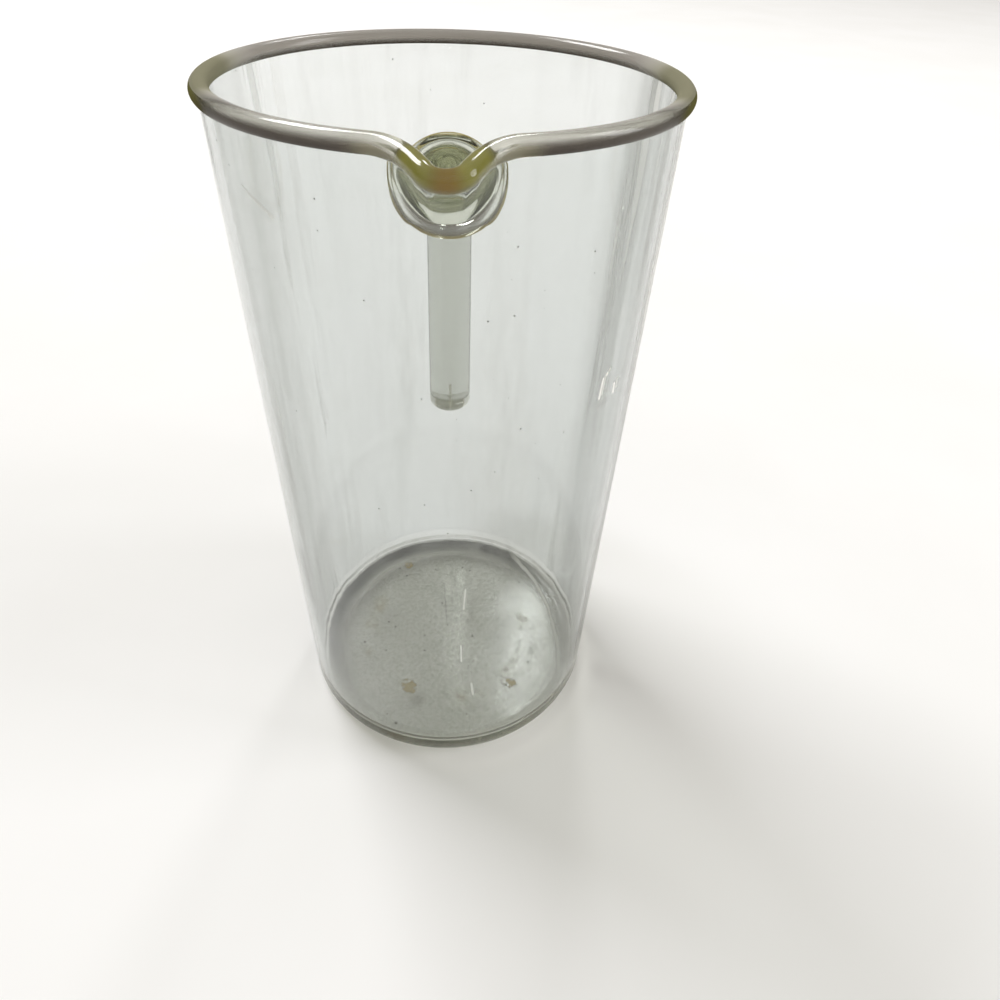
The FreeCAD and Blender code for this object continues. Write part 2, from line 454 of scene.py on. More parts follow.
def padFootprint(tree):                     # 1 on the outside of the wall where the pad is welded on
    x, y, z = axes(tree)
    outside = fromAxis(x, y) > z * tan(taper) + wallRadius(0)
    return (padOval(x, z) < 1.0) * outside * (y > 0.0)


def wallPaintedShadeAndHighlights(tree):                        # painted shade on the flanks and, brown, where the wall turns from the eye, and painted pale highlights, that follow the wall's threads
    x, y, z = axes(tree)
    away = fromAxis(x, y)
    across, turn = x / away, y / away
    threads = noise(tree, **wall["threads"])
    right = band(tree, across, *wall["sideShadeRight"]) * wall["sideShadeRightAmount"]
    left = band(tree, -across, *wall["sideShadeLeft"]) * wall["sideShadeLeftAmount"]
    sideShade = (right + left) * varied(band(tree, threads, *wall["sideShadeThreads"]), *wall["sideShadeAmount"])
    edge = (1.0 - band(tree, abs(turn - wall["edgeTurn"]), *wall["edgeReach"])) \
        * varied(clouds(tree, **wall["edgeClouds"]), *wall["edgeAmount"])
    pale = band(tree, threads, *wall["paleThreads"]) * band(tree, across * across, *wall["paleFlanks"])
    return sideShade, edge, pale * wall["paleAmount"]


def wallDirtAndPaintedLight(tree):
    # grains, a knot, haze and a scratch, with painted shade on the flanks and painted highlights on blisters
    # and threads
    x, y, z = axes(tree)
    front = y < 0.0
    grains = specks(tree, **wall["grains"]) * wall["grainAmount"]
    haze = clouds(tree, **wall["haze"]) * wall["hazeAmount"]
    scratchesAndGlints = streak(tree, x, z, *wall["scratch"]) * wall["scratchAmount"]
    for start, end in wall["blisterGlints"]:
        scratchesAndGlints = streak(tree, x, z, start, end, wall["blisterGlintWidth"]) + scratchesAndGlints
    knotAcross, knotUp, knotRadius = wall["knot"]
    knot = spot(tree, x - knotAcross, z - knotUp, knotRadius) * front * wall["knotAmount"]
    sideShade, edge, pale = wallPaintedShadeAndHighlights(tree)
    colour = mixColours(tree, grains + knot, dirtAndGlintColours["haze"], dirtAndGlintColours["speck"])
    under = haze + 0.01                     # each layer, dirt or painted light, takes the colour by its share of all that lies there
    colour = mixColours(tree, sideShade / (sideShade + under), colour, wall["sideShade"])
    colour = mixColours(tree, edge / (edge + sideShade + under), colour, wall["edge"])
    colour = mixColours(tree, scratchesAndGlints + pale * wall["paleTint"], colour, dirtAndGlintColours["white"])
    return grains + knot + haze + sideShade + edge + pale + scratchesAndGlints * front, colour


def isUpright(edge):
    return abs(edge.verts[0].co.z - edge.verts[1].co.z) > 0.001


def makeWall():                             # the wall with its pressed spout
    bpy.ops.object.select_all(action="DESELECT")
    bpy.ops.mesh.primitive_cone_add(
        vertices=jug["columns"], radius1=wallRadius(wallBottom), radius2=wallRadius(wallTop),
        depth=wallTop - wallBottom, end_fill_type="NOTHING", location=(0, 0, (wallTop + wallBottom) / 2))
    piece = startPiece("wallAndSpout")
    bpy.ops.mesh.bisect(plane_co=(0, 0, spoutRoot), plane_no=(0, 0, 1))
    pick(piece, "edges", lambda edge: middle(edge).z > spoutRoot + closeTo and isUpright(edge))
    bpy.ops.mesh.subdivide(number_cuts=spout["rows"])
    pick(piece, "edges", lambda edge: middle(edge).z < spoutRoot - closeTo and isUpright(edge))
    bpy.ops.mesh.subdivide(number_cuts=wall["rowsBelow"])
    leaveEditMode()
    for vert in piece.data.vertices:        # press the spout and pack the columns towards it
        angle = crowdedAngle(vert.co)
        rise = (vert.co.z - spoutRoot) / spout["depth"]
        if rise > 0:
            vert.co = spoutPoint(angle, rise)
        else:
            vert.co = onAngle(angle, wallRadius(vert.co.z), vert.co.z)
    addMaterialSlots(piece)
    bpy.ops.object.modifier_add(type="SOLIDIFY")
    shell = piece.modifiers[-1]
    shell.thickness = jug["wallThickness"]
    shell.offset = 0
    shell.use_even_offset = True
    shell.material_offset_rim = 1
    bpy.ops.object.modifier_apply(modifier=shell.name)
    for vert in piece.data.vertices:        # level the lower edge where the base takes over
        if vert.co.z < wallBottom + halfWall / 2:
            outer = hypot(vert.co.x, vert.co.y) > wallRadius(wallBottom)
            radius = wallFace(wallBottom, 1 if outer else -1)
            vert.co = onAngle(spoutAngle(vert.co), radius, wallBottom - jug["lap"])
    wallGlass = makeClearGlass("wall glass", wall, hole=padFootprint, dirtAndPaintedLight=wallDirtAndPaintedLight)
    finishPiece(piece, ["body_wall", "pouring_spout"], wallGlass)


rim = {
    "sectionSides": 36,
    "fade": (6.0, 6.0, 16.0),
    "waves": (0.0002, 0.000004),
    "satin": 0.13,
    "top": (0.84, 0.82, 0.79, 1),
    "under": (0.085, 0.068, 0.055, 1),      # painted shade on the bead's outer lower side
    "underShadeReach": (-0.15, 0.65),
    "core": (0.36, 0.22, 0.03, 1),          # painted glow for light carried up the wall, from the middle of the spout outwards
    "olive": (0.34, 0.33, 0.07, 1),
    "pale": (0.36, 0.335, 0.28, 1),
    "coreReach": (0.0004, 0.0032),
    "oliveReach": (0.0055, 0.0080),
    "carriedReach": (0.0052, 0.0080),
    "carriedLoss": 0.75,
    "carriedClouds": {"scale": 150.0, "detail": 2.0, "low": 0.3, "high": 0.7},
    "carriedAmount": (0.7, 0.2),            # everywhere, and what its clouds add
    "paintedSheen": (0.74, 0.72, 0.68, 1),     # painted sheen on the bead's upper side
    "sheenReach": (0.1, 0.9),
    "sheenAmount": 0.34,
    # painted shade on the bead's lower side
    "shade": (0.055, 0.045, 0.038, 1),
    "shadeReach": (0.0, 0.6),
    "shadeAmount": 0.52,
    # painted pale olive glow and highlight at the spout's tip
    "tip": (0.62, 0.62, 0.38, 1),
    "tipReach": (0.008, 0.018),
    "tipFront": -0.046,                     # the spout's tip and flanks lie in front of this
    "tipBare": 0.65,
    "end": (0.13, 0.125, 0.04, 1),          # painted olive shade at the bead's left and right ends
    "endFront": (-0.046, -0.030),
    "endReach": (0.034, 0.046),
    "endFades": ((-0.036, -0.020), (0.004, 0.022)),
    "endAmount": 0.88,
    "endTint": 0.8,
}


def rimTintAndUnderShade(tree):
    # painted shade: the bead's tint turns dark on its outer lower side
    under = band(tree, attribute(tree, "under"), *rim["underShadeReach"])
    return mixColours(tree, under, rim["top"], rim["under"])


def rimPaintedLight(tree):                          # painted light: light carried up the wall is painted as an olive glow where the bead sits on it, with painted sheen and shade on the bead
    x, y, z = axes(tree)
    seam, under = attribute(tree, "seam"), attribute(tree, "under")
    aside = abs(x)
    glow = mixColours(tree, band(tree, aside, *rim["coreReach"]), rim["core"], rim["olive"])
    glow = mixColours(tree, band(tree, aside, *rim["oliveReach"]), glow, rim["pale"])
    glow = mixColours(tree, band(tree, y, *rim["endFront"]), glow, rim["end"])
    carried = seam * varied(clouds(tree, **rim["carriedClouds"]), *rim["carriedAmount"]) \
        * (1.0 - band(tree, aside, *rim["carriedReach"]) * rim["carriedLoss"])
    tip = (1.0 - band(tree, aside, *rim["tipReach"])) * (y < rim["tipFront"])
    bare = (1.0 - seam) * (1.0 - tip * rim["tipBare"])
    upper = band(tree, -under, *rim["sheenReach"]) * rim["sheenAmount"] * bare
    lower = band(tree, under, *rim["shadeReach"]) * rim["shadeAmount"] * bare
    front, back = rim["endFades"]
    shadedEnds = band(tree, aside, *rim["endReach"]) * band(tree, y, *front) * (1.0 - band(tree, y, *back))
    film = mixColours(tree, lower > 0.005, rim["paintedSheen"], rim["shade"])
    film = mixColours(tree, shadedEnds * rim["endTint"], film, rim["end"])
    film = mixColours(tree, tip, film, rim["tip"])
    amount = carried + upper + lower + shadedEnds * rim["endAmount"] * (1.0 - seam)
    return amount, mixColours(tree, seam, film, glow)


def seatAxes(point):                        # how far a point of the even ring is outside its seat, and above
    across = Vector((hypot(point.x, point.y), point.z)) - Vector((wallRadius(wallTop), wallTop))
    return across.dot(Vector((cos(taper), -sin(taper)))), across.dot(Vector((sin(taper), cos(taper))))


def makeRim():                              # the rolled rim
    bpy.ops.object.select_all(action="DESELECT")
    out, up = spoutAxes(pi / 2, 1.0)
    seat = spoutPoint(pi / 2, 1.0)
    ballCentre = seat + out * jug["beadOverhang"] / 2 + up * seatRise
    bpy.ops.mesh.primitive_circle_add(vertices=rim["sectionSides"], radius=jug["beadRadius"],
                                      fill_type="NGON", location=ballCentre, rotation=(pi / 2, 0, 0))
    piece = startPiece("rimBead")
    bpy.ops.mesh.bisect(plane_co=seat, plane_no=up, clear_inner=True, threshold=1e-8)

    def onSeat(vert):
        return abs((vert.co - seat).dot(up)) < touching

    pick(piece, "edges", lambda edge: all(onSeat(vert) for vert in edge.verts))
    bpy.ops.mesh.subdivide(number_cuts=1)   # a point on the seat, moved to the outside of the wall
    pick(piece, "verts", lambda vert: onSeat(vert) and abs((vert.co - seat).dot(out)) < seatHalfWidth / 2)
    mesh = bmesh.from_edit_mesh(piece.data)
    moved = next(vert for vert in mesh.verts if vert.select)
    bpy.ops.transform.translate(value=seat + out * halfWall - moved.co)
    bpy.ops.mesh.select_all(action="SELECT")
    bpy.ops.mesh.delete(type="ONLY_FACE")
    bpy.ops.mesh.select_all(action="SELECT")
    bpy.ops.mesh.spin(steps=jug["columns"], angle=2 * pi, center=(0, 0, 0), axis=(0, 0, 1))
    bpy.ops.mesh.select_all(action="SELECT")
    bpy.ops.mesh.remove_doubles(threshold=touching)
    bpy.ops.mesh.normals_make_consistent(inside=False)

    def overWall(face):
        outwards, level = seatAxes(middle(face))
        return abs(level) < 2 * closeTo and outwards < halfWall

    markFused(piece, overWall)
    leaveEditMode()
    under = piece.data.attributes.new("under", "FLOAT", "POINT")
    for vert in piece.data.vertices:        # carry the section along the rim and round the spout
        angle = crowdedAngle(vert.co)
        outAxis, upAxis = spoutAxes(angle, 1.0)
        outwards, level = seatAxes(vert.co)
        leaning = (outwards - jug["beadOverhang"] / 2) - (level - seatRise)
        under.data[vert.index].value = leaning / jug["beadRadius"] / sqrt(2)
        if level < jug["lap"]:
            level -= jug["lap"]
        vert.co = spoutPoint(angle, 1.0) + outAxis * outwards + upAxis * level
    rimGlass = makeClearGlass("rim glass", rim, tint=rimTintAndUnderShade, dirtAndPaintedLight=rimPaintedLight)
    finishPiece(piece, ["rim_bead"], rimGlass)


base = {
    "thickness": 0.0046,
    "heelRadius": 0.0056,
    "cornerRadius": 0.004,
    "roundingSteps": 12,
    "rings": 6,                             # rings of faces across the floor and the underside
    "firstRing": 0.0012,
    "ringWidth": 0.0048,
    "fade": (20.0, 19.5, 24.0),
    "waves": (0.0003, 0.00001),
    "floorHeights": (0.0044, 0.0062),       # between them lie the floor and the foot of its corner
    "wear": {"scale": 90.0, "detail": 4.0, "low": 0.3, "high": 0.7},
    "wornRoughness": (0.13, 0.06),          # everywhere, and what the worn patches add
    "mottling": {"scale": 900.0, "detail": 3.0, "roughness": 0.6, "low": 0.35, "high": 0.70},
    "mottled": (0.66, 0.67, 0.62, 1),
    "film": (0.45, 0.45, 0.41, 1),
    "filmAmount": 0.10,
    "patches": {"scale": 75.0, "detail": 5.0, "roughness": 0.7},
    "filmPatches": (0.40, 0.75),
    "patchAmount": 0.12,
    "filmGrain": {"scale": 1100.0, "detail": 3.0, "roughness": 0.7, "low": 0.45, "high": 0.75},
    "filmGrainAmount": 0.10,
    "brown": (0.29, 0.23, 0.085, 1),
    "brownSpots": [(-0.0128, -0.0208, 0.0034), (-0.0113, -0.0222, 0.0028), (0.0185, -0.0212, 0.0027),
                   (-0.0147, 0.0285, 0.0026)],          # x, y and radius
    "brownFlakes": {"scale": 560.0, "detail": 5.0, "roughness": 0.68},
    "brownFill": 0.27,                      # 0 leaves scattered flakes, 1 fills the spots
    "brownEdge": (0.62, 0.88),
    "brownAmount": 0.72,
    "ring": (0.026, 0.004),                 # a faint brown ring: radius and half width
    "ringPatches": (0.50, 0.68),
    "ringAmount": 0.30,
    "grains": {"scale": 400.0, "size": 0.18, "share": 0.16},
    "grainAmount": 0.9,
    # painted reflection of the handle's rod: a broken bright line across the floor
    "reflectionStreaks": [((0.0056, 0.0165), (0.0048, 0.0078)), ((0.0036, -0.0070), (0.0038, -0.0130)),
                ((0.0067, -0.0212), (0.0071, -0.0250))],
    "reflectionStreakWidth": 0.0007,
    "reflectionStreakAmount": 0.9,
    "scratch": ((-0.0020, 0.0195), (-0.0008, 0.0010), 0.0003),
    "scratchAmount": 0.14,
    "corner": (0.055, 0.058, 0.048, 1),     # painted shade in the inner corner
    "cornerReach": (0.0315, 0.0380),
    "cornerHeights": (0.0054, 0.0062),
    "cornerBack": (-0.036, -0.005),
    "cornerRight": (0.022, 0.036),
    "cornerRightLoss": 0.42,
    "cornerClouds": {"scale": 60.0, "detail": 2.0, "low": 0.3, "high": 0.7},
    "cornerAmount": (0.8, 0.2),             # everywhere, and what its clouds add
    "cornerHighlight": (0.035, 6.2, 0.005),       # painted highlight arc beside the inner corner: its nearest point to the axis, its bow and the bow's middle
    "cornerHighlightWidth": (0.0002, 0.0008),
    "cornerHighlightRight": (0.020, 0.026),
    "cornerHighlightBack": (-0.020, 0.018),
    "cornerHighlightAmount": (0.1, 0.6),          # everywhere, and what the back adds
    "heel": (0.0040, 0.035, 0.24),          # painted light: pale haze that lightens the heel below this height and past this radius, and how much
}


def onFloor(z):
    low, high = base["floorHeights"]
    return (z > low) * (z < high)


def floorWear(tree):
    x, y, z = axes(tree)
    return onFloor(z) * varied(clouds(tree, **base["wear"]), *base["wornRoughness"])


def baseTint(tree):                         # the floor is finely mottled
    x, y, z = axes(tree)
    return mixColours(tree, onFloor(z) * clouds(tree, **base["mottling"]), glass["clear"], base["mottled"])


def paintedCornerShadeAndHighlight(tree):                        # painted shade in the inner corner, and a painted highlight arc beside it
    x, y, z = axes(tree)
    away = fromAxis(x, y)
    inside = (z > base["floorHeights"][0]) * (away < z * tan(taper) + wallRadius(0))
    corner = band(tree, away, *base["cornerReach"]) * (1.0 - band(tree, z, *base["cornerHeights"])) * inside
    uneven = varied(clouds(tree, **base["cornerClouds"]), *base["cornerAmount"])
    shade = corner * band(tree, y, *base["cornerBack"]) * uneven \
        * (1.0 - band(tree, x, *base["cornerRight"]) * base["cornerRightLoss"])
    nearest, bow, bowMiddle = base["cornerHighlight"]
    offLine = abs(away - (y - bowMiddle) ** 2.0 * bow - nearest)
    line = (1.0 - band(tree, offLine, *base["cornerHighlightWidth"])) * inside
    return shade, line * band(tree, x, *base["cornerHighlightRight"]) \
        * varied(band(tree, y, *base["cornerHighlightBack"]), *base["cornerHighlightAmount"])


def floorBrown(tree, patches):              # ragged brown spots, and a faint ring
    x, y, z = axes(tree)
    spots = 0.0
    for spotX, spotY, radius in base["brownSpots"]:
        spots = spot(tree, x - spotX, y - spotY, radius) + spots
    flakes = spots * base["brownFill"] + noise(tree, **base["brownFlakes"])
    ringRadius, ringHalfWidth = base["ring"]
    ring = 1.0 - band(tree, abs(fromAxis(x, y) - ringRadius), ringHalfWidth * 0.4, ringHalfWidth)
    return band(tree, flakes, *base["brownEdge"]) * (spots > 0.02) * base["brownAmount"] \
        + ring * band(tree, patches, *base["ringPatches"]) * base["ringAmount"]


def floorDirtAndPaintedLight(tree):
    # film, stains, grains and a scratch, with painted reflection streaks, painted corner shade and highlight,
    # and a painted lighter heel
    x, y, z = axes(tree)
    patches = noise(tree, **base["patches"])
    film = band(tree, patches, *base["filmPatches"]) * base["patchAmount"] \
        + clouds(tree, **base["filmGrain"]) * base["filmGrainAmount"] + base["filmAmount"]
    brown = floorBrown(tree, patches)
    grains = specks(tree, **base["grains"]) * base["grainAmount"]
    scratchesAndGlints = streak(tree, x, y, *base["scratch"]) * base["scratchAmount"]
    for start, end in base["reflectionStreaks"]:
        scratchesAndGlints = streak(tree, x, y, start, end, base["reflectionStreakWidth"]) * base["reflectionStreakAmount"] + scratchesAndGlints
    shade, shine = paintedCornerShadeAndHighlight(tree)
    heelTop, heelRadius, heelAmount = base["heel"]
    heel = (z < heelTop) * (fromAxis(x, y) > heelRadius) * heelAmount
    colour = mixColours(tree, band(tree, brown, 0.05, 0.3), base["film"], base["brown"])
    for share, over in ((grains, dirtAndGlintColours["speck"]), (scratchesAndGlints, dirtAndGlintColours["white"]), (shade, base["corner"]),
                        (shine, dirtAndGlintColours["white"]), (heel > 0.01, dirtAndGlintColours["haze"])):
        colour = mixColours(tree, share, colour, over)
    return (film + brown + grains + scratchesAndGlints) * onFloor(z) * (1.0 - shade) + shade + shine + heel, colour


def makeBase():                             # the thick flat base
    bpy.ops.object.select_all(action="DESELECT")
    bpy.ops.mesh.primitive_cone_add(
        vertices=jug["columns"], radius1=jug["baseRadius"], radius2=wallFace(wallBottom, 1),
        depth=wallBottom, end_fill_type="NGON", location=(0, 0, wallBottom / 2))
    piece = startPiece("thickBase")

    def isTop(face):
        return face.normal.z > 0.9 and middle(face).z > wallBottom - closeTo

    pick(piece, "faces", isTop)
    bpy.ops.mesh.inset(thickness=wallFace(wallBottom, 1) - wallFace(wallBottom, -1))
    pick(piece, "faces", lambda face: isTop(face) and isCap(face))
    floorRadius = wallFace(base["thickness"], -1)
    bpy.ops.mesh.extrude_region_move(TRANSFORM_OT_translate={"value": (0, 0, base["thickness"] - wallBottom)})
    shrink = floorRadius / wallFace(wallBottom, -1)
    bpy.ops.transform.resize(value=(shrink, shrink, 1), center_override=(0, 0, base["thickness"]))
    turn = tan((pi / 2 - taper) / 2)
    for height, radius, rounding in ((base["thickness"], floorRadius, base["cornerRadius"]),
                                     (0.0, jug["baseRadius"], base["heelRadius"])):
        pick(piece, "edges", lambda edge: abs(middle(edge).z - height) < closeTo
             and abs(hypot(middle(edge).x, middle(edge).y) - radius) < 1e-4)
        bpy.ops.mesh.bevel(offset=rounding * turn, offset_type="OFFSET", segments=base["roundingSteps"],
                           profile=0.5)
    pick(piece, "faces", isCap)
    for ring in range(base["rings"]):
        bpy.ops.mesh.inset(thickness=base["ringWidth"] if ring else base["firstRing"], use_individual=True)
    markFused(piece, isTop)
    leaveEditMode()
    baseGlass = makeClearGlass("base glass", base, tint=baseTint, dirtAndPaintedLight=floorDirtAndPaintedLight, worn=floorWear)
    finishPiece(piece, ["base"], baseGlass)


handle = {
    "padEdge": 0.0012,                      # thickness at the pad's outline
    "edgeSteps": [(0.55, 0.0), (0.85, 0.004), (1.0, 0.02)],     # shares of that thickness and of the flare
    "flareRings": 10,
    "flareBow": 2.13,                       # 1 flares straight, more flares late
    "padInset": 0.0035,
    "padInsets": 4,
    "neckWidth": 0.021,
    "neckHeight": 0.020,
    "neckStandoff": 0.0085,
    "bendRings": 28,
    "rodRadius": 0.00775,
    "rodDistance": 0.075,
    "rodEnd": 0.0445,
    "endRounding": 0.0024,
    "roundingSteps": 10,
    "endInset": 0.0006,
    "sides": 96,
    "fade": (7.0, 6.6, 10.5),
    "waves": (0.00025, 0.000006),
    # painted yellow glow along the weld's outline
    "weldYellowGlow": (0.62, 0.55, 0.20, 1),
    "weldYellowGlowReach": (0.80, 1.0),           # 0 in the middle of the pad, 1 on its outline
    "rodTint": (0.66, 0.668, 0.65, 1),
    "rodTintReach": (-0.004, 0.012),        # from the top of the rod
    # painted glow along the weld's outline
    "weldGlow": (0.50, 0.40, 0.10, 1),
    "weldGlowReach": (0.90, 0.98),
    "weldGlowDepth": 0.003,
    "weldGlowAmount": 0.62,
    "collarGlow": (0.56, 0.42, 0.14, 1),        # painted soft amber glow where the bend starts
    "collarFront": (0.0024, 0.0040),        # from the neck
    "collarBack": (0.0085, 0.0125),
    "collarRise": (0.004, 0.009),
    "collarClouds": {"scale": 400.0, "detail": 3.0, "low": 0.35, "high": 0.65},
    "collarAmount": (0.15, 0.35),           # everywhere, and what its clouds add
    "flankShade": (0.10, 0.10, 0.075, 1),        # painted shade on the rod's left and right edges
    "flankReach": (0.0068, 0.0076),
    "flankRise": 0.004,                     # from the end of the rod
    "flankAmount": 0.34,
    # painted light that lightens the rod's dark end
    "litCap": (0.62, 0.62, 0.52, 1),
    "capRise": 0.0026,
    "capAmount": 0.45,
    "bright": (0.95, 0.95, 0.90, 1),        # painted highlights at the end's corners, and a crease just above the end
    "brightRise": (0.0012, 0.0050),
    "brightReach": (0.0046, 0.0058),
    "brightAmount": 0.70,
    "creaseRise": 0.007,
    "creaseReach": (0.00008, 0.0002),
    "creaseAmount": 0.35,
}
padFace = wallFace(weld["height"], 1)
neckDistance = padFace + handle["neckStandoff"]
bendRadius = handle["rodDistance"] - neckDistance
rodTop = weld["height"] - bendRadius


def handleTint(tree):                       # painted glow: the weld's outline is tinted yellow for light carried in the glass; the rod below the bend is tinted greyer
    x, y, z = axes(tree)
    edge = band(tree, padOval(x, z), *handle["weldYellowGlowReach"]) * (y < padFace + handle["weldGlowDepth"])
    colour = mixColours(tree, edge, glass["clear"], handle["weldYellowGlow"])
    low, high = handle["rodTintReach"]
    rod = (1.0 - band(tree, z, rodTop + low, rodTop + high)) * (y > neckDistance)
    return mixColours(tree, rod, colour, handle["rodTint"])


def collarGlowMask(tree, y, z):
    front = band(tree, y - neckDistance, *handle["collarFront"])
    back = 1.0 - band(tree, y - neckDistance, *handle["collarBack"])
    return front * back * band(tree, z - weld["height"], *handle["collarRise"]) \
        * varied(clouds(tree, **handle["collarClouds"]), *handle["collarAmount"])


def handlePaintedLightAndCrease(tree):                       # painted light and a crease: glow at the weld and the bend, painted shade on the rod's edges, a lightened end and painted highlights
    x, y, z = axes(tree)
    aside = abs(x)
    rise = z - handle["rodEnd"]
    skin = 1.0 - attribute(tree, "seam")
    rod = (z < rodTop) * (y > neckDistance) * skin
    edge = band(tree, padOval(x, z), *handle["weldGlowReach"]) * (y < padFace + handle["weldGlowDepth"]) \
        * skin * handle["weldGlowAmount"]
    shadedFlanks = band(tree, aside, *handle["flankReach"]) * (rise > handle["flankRise"]) * rod \
        * handle["flankAmount"]
    litCap = (rise < handle["capRise"]) * rod
    low, high = handle["brightRise"]
    bright = (rise > low) * (rise < high) * rod * band(tree, aside, *handle["brightReach"])
    crease = (rise < handle["creaseRise"]) * rod * (1.0 - band(tree, aside, *handle["creaseReach"])) \
        * handle["creaseAmount"]
    colour = mixColours(tree, band(tree, edge, 0.0, 0.1), handle["collarGlow"], handle["weldGlow"])
    for share, over in ((shadedFlanks > 0.001, "flankShade"), (litCap, "litCap"), (bright + crease, "bright")):
        colour = mixColours(tree, share, colour, handle[over])
    amount = edge + collarGlowMask(tree, y, z) * skin + shadedFlanks + litCap * handle["capAmount"] \
        + bright * handle["brightAmount"] + crease
    return amount, colour


def addOval(distance, width, height):       # an upright oval face, square to the way out of the jug
    bpy.ops.object.select_all(action="DESELECT")
    bpy.ops.mesh.primitive_circle_add(vertices=handle["sides"], radius=1.0, fill_type="NGON",
                                      location=(0, distance, weld["height"]), rotation=(-pi / 2, 0, 0))
    bpy.context.object.scale = (width / 2, height / 2, 1)


def makePad(material):
    addOval(padFace, weld["padWidth"], weld["padHeight"])
    piece = startPiece("handlePad")
    width, height, standoff = weld["padWidth"], weld["padHeight"], 0.0
    places = [(handle["padEdge"] * share, flare) for share, flare in handle["edgeSteps"]]
    flared = places[-1][1]
    for ring in range(1, handle["flareRings"] + 1):
        share = ring / handle["flareRings"]
        places.append((handle["padEdge"] + (handle["neckStandoff"] - handle["padEdge"]) * share,
                       flared + (1 - flared) * (1 - (1 - share) ** handle["flareBow"])))
    for nextStandoff, flare in places:
        nextWidth = weld["padWidth"] + (handle["neckWidth"] - weld["padWidth"]) * flare
        nextHeight = weld["padHeight"] + (handle["neckHeight"] - weld["padHeight"]) * flare
        bpy.ops.mesh.extrude_region_move(TRANSFORM_OT_translate={"value": (0, nextStandoff - standoff, 0)})
        bpy.ops.transform.resize(value=(nextWidth / width, 1, nextHeight / height),
                                 center_override=(0, padFace, weld["height"]))
        width, height, standoff = nextWidth, nextHeight, nextStandoff
    markFused(piece, isCap)
    pick(piece, "faces", lambda face: isCap(face) and middle(face).y < padFace + closeTo)
    for ring in range(handle["padInsets"]):
        bpy.ops.mesh.inset(thickness=handle["padInset"])
    leaveEditMode()
    for vert in piece.data.vertices:        # press the weld on to the round of the wall
        away = vert.co.y - padFace
        if away < handle["padEdge"] + closeTo:
            onWall = sqrt(wallFace(vert.co.z, 1) ** 2 - vert.co.x ** 2)
            evened = (padFace - onWall) * away / handle["neckStandoff"]
            vert.co.y = onWall + (away if away > touching else -jug["lap"]) + evened
    finishPiece(piece, ["handle_pad"], material)


def makeElbow(material):
    addOval(neckDistance - jug["lap"], handle["neckWidth"], handle["neckHeight"])
    piece = startPiece("handleElbow")
    rings = handle["bendRings"]
    turnBack = Matrix.Rotation(radians(-90 / rings), 4, "X")
    hinge = Vector((0, neckDistance, rodTop))
    spoke = Vector((0, 0, 1))               # from the hinge towards the middle of the ring
    width, height = handle["neckWidth"], handle["neckHeight"]
    for ring in range(1, rings + 1):
        share = ring / rings
        nextSpoke = Vector((0, sin(radians(90 * share)), cos(radians(90 * share))))
        nextWidth = handle["neckWidth"] + (2 * handle["rodRadius"] - handle["neckWidth"]) * share
        nextHeight = handle["neckHeight"] + (2 * handle["rodRadius"] - handle["neckHeight"]) * share
        bpy.ops.mesh.extrude_region_move()
        leaveEditMode()
        for vert in piece.data.vertices:
            if vert.select:
                place = turnBack @ (vert.co - hinge - spoke * bendRadius)
                place += nextSpoke * place.dot(nextSpoke) * (nextHeight / height - 1)
                place.x *= nextWidth / width
                vert.co = hinge + nextSpoke * bendRadius + place
        bpy.ops.object.mode_set(mode="EDIT")
        width, height, spoke = nextWidth, nextHeight, nextSpoke
    markFused(piece, isCap)
    leaveEditMode()
    finishPiece(piece, ["handle_elbow"], material)


def makeGrip(material):
    bpy.ops.object.select_all(action="DESELECT")
    length = rodTop - handle["rodEnd"] + jug["lap"]
    bpy.ops.mesh.primitive_cylinder_add(vertices=handle["sides"], radius=handle["rodRadius"], depth=length,
                                        location=(0, handle["rodDistance"], handle["rodEnd"] + length / 2))
    piece = startPiece("handleGrip")
    markFused(piece, lambda face: face.normal.z > 0.9)
    pick(piece, "edges", lambda edge: all(vert.co.z < handle["rodEnd"] + closeTo for vert in edge.verts))
    bpy.ops.mesh.bevel(offset=handle["endRounding"], offset_type="OFFSET", segments=handle["roundingSteps"],
                       profile=0.5)
    pick(piece, "faces", lambda face: isCap(face) and face.normal.z < -0.9)
    bpy.ops.mesh.inset(thickness=handle["endInset"])
    leaveEditMode()
    finishPiece(piece, ["handle_grip"], material)


def makeHandle():                           # pad, elbow and grip are one rod of the same glass
    material = makeClearGlass("handle glass", handle, tint=handleTint, dirtAndPaintedLight=handlePaintedLightAndCrease)
    makePad(material)
    makeElbow(material)
    makeGrip(material)


stage = {
    "floorWidth": 12,
    "floor": (0.92, 0.925, 0.925, 1),
    "floorWorn": (0.90, 0.905, 0.90, 1),
    "floorClouds": {"scale": 9.0, "detail": 4.0, "low": 0.3, "high": 0.7},
    "gap": 0.0002,                          # between the jug and the floor
    "sky": [(0.0, (0.60, 0.59, 0.57, 1)), (0.05, (0.46, 0.44, 0.42, 1)), (0.15, (0.27, 0.245, 0.22, 1)),
            (0.35, (0.16, 0.135, 0.11, 1)), (1.0, (0.16, 0.135, 0.11, 1))],
    "skyBehindCamera": (0.62, 0.59, 0.54, 1),
}
lamps = {                                   # place, aim, width, height, power, and if it shows through glass
    "key": ((-2.08, 2.24, 4.11), (0, 0, 0.08), 2.24, 1.60, 192.0, True),
    "side": ((2.40, -0.30, 1.30), (0, 0, 0.10), 0.90, 1.80, 27.0, False),
    "window": ((0.213, 0.96, 1.22), (0.02, 0, 0.0), 0.16, 0.22, 2.3, True),
}
camera = {
    "place": (0.0009, -0.17712, 0.21506),
    "right": (0.99816, -0.05151, 0.03199),
    "up": (0.00054, 0.53508, 0.84480),
    "lens": 28.458,
    "sensor": 36.0,
    "shift": -0.125,
    "clipStart": 0.01,
}
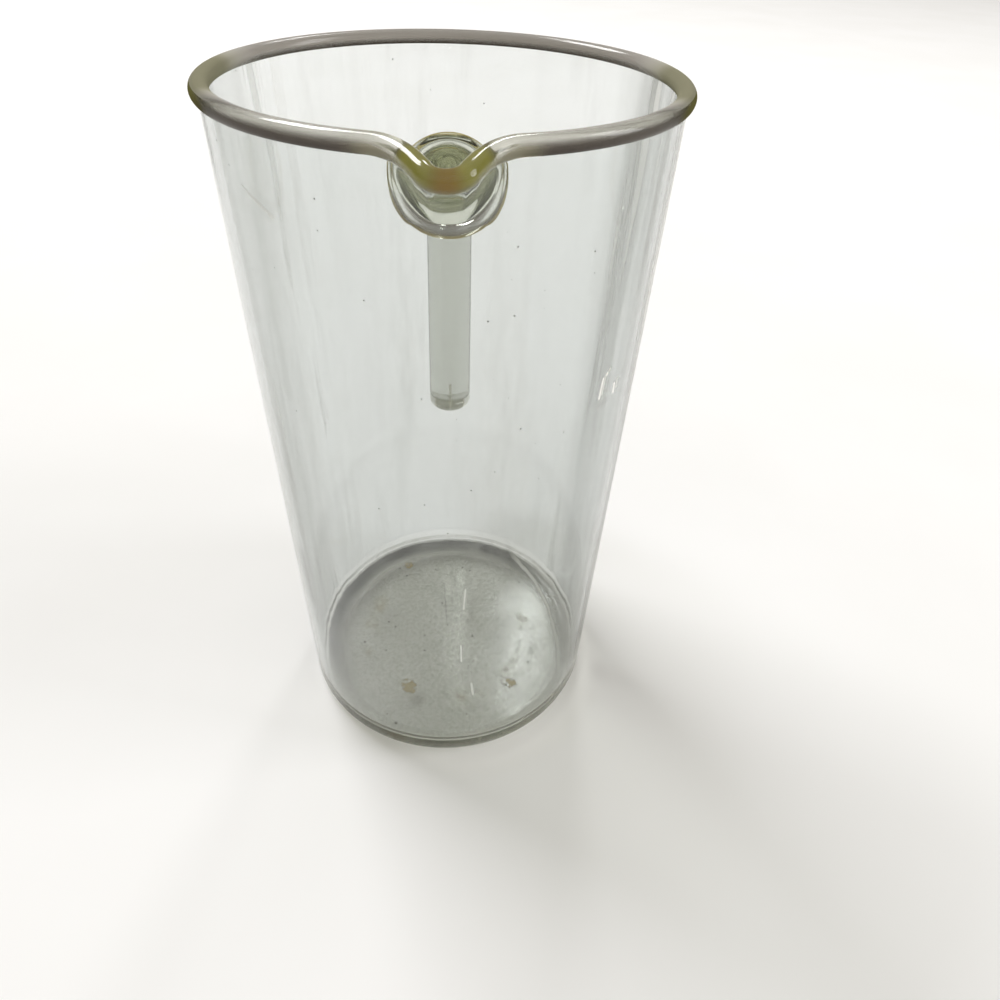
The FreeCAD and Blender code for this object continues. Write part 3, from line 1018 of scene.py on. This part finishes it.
bounces = {
    "max_bounces": 64,
    "transmission_bounces": 48,
    "glossy_bounces": 48,
    "transparent_max_bounces": 64,
}


def makeFloor():
    bpy.ops.object.select_all(action="DESELECT")
    bpy.ops.mesh.primitive_plane_add(size=stage["floorWidth"], location=(0, 0, -stage["gap"]))
    floor = bpy.context.object
    floor.name = "studioFloor"
    material, tree = startMaterial("studio floor")
    colour = mixColours(tree, clouds(tree, **stage["floorClouds"]), stage["floor"], stage["floorWorn"])
    shader = addNode(tree, "BsdfPrincipled", {}, Base_Color=colour, Roughness=1.0, Specular_IOR_Level=0.0)
    addNode(tree, "OutputMaterial", {}, Surface=shader)
    floor.data.materials.append(material)


def makeSky():
    world = bpy.data.worlds.new("studio")
    bpy.context.scene.world = world
    world.use_nodes = True
    tree = world.node_tree
    tree.nodes.clear()
    direction = addNode(tree, "TexCoord", {}, output="Generated")
    parts = addNode(tree, "SeparateXYZ", {}, direction).socket.node.outputs
    colour = addNode(tree, "ValToRGB", {"stops": stage["sky"]}, Value(parts["Z"]))
    colour = mixColours(tree, band(tree, -Value(parts["Y"]), 0.0, 0.7), colour, stage["skyBehindCamera"])
    addNode(tree, "OutputWorld", {}, Surface=addNode(tree, "Background", {}, Color=colour, Strength=1.0))


def makeLamp(name, place, aim, width, height, power, throughGlass):
    data = bpy.data.lights.new(name, "AREA")
    data.shape = "RECTANGLE"
    data.size, data.size_y = width, height
    data.energy = power
    lamp = bpy.data.objects.new(name, data)
    bpy.context.scene.collection.objects.link(lamp)
    lamp.location = place
    lamp.rotation_mode = "QUATERNION"
    lamp.rotation_quaternion = (Vector(aim) - Vector(place)).to_track_quat("-Z", "Y")
    lamp.visible_transmission = throughGlass


def makeCamera():
    data = bpy.data.cameras.new("camera")
    data.lens = camera["lens"]
    data.sensor_width = camera["sensor"]
    data.shift_y = camera["shift"]
    data.clip_start = camera["clipStart"]
    eye = bpy.data.objects.new("camera", data)
    bpy.context.scene.collection.objects.link(eye)
    right = Vector(camera["right"]).normalized()
    up = Vector(camera["up"])
    up = (up - right * up.dot(right)).normalized()
    turned = Matrix((right, up, right.cross(up))).transposed().to_4x4()
    eye.matrix_world = Matrix.Translation(camera["place"]) @ turned
    bpy.context.scene.camera = eye


def setRendering():
    scene = bpy.context.scene
    scene.view_settings.view_transform = "Standard"
    for name, count in bounces.items():
        setattr(scene.cycles, name, count)
    scene.cycles.caustics_reflective = False
    scene.cycles.caustics_refractive = False
    scene.cycles.use_denoising = True


makeWall()
makeRim()
makeBase()
makeHandle()
makeFloor()
makeSky()
for name, settings in lamps.items():
    makeLamp(name, *settings)
makeCamera()
setRendering()
print("stage, lamps and camera ready")
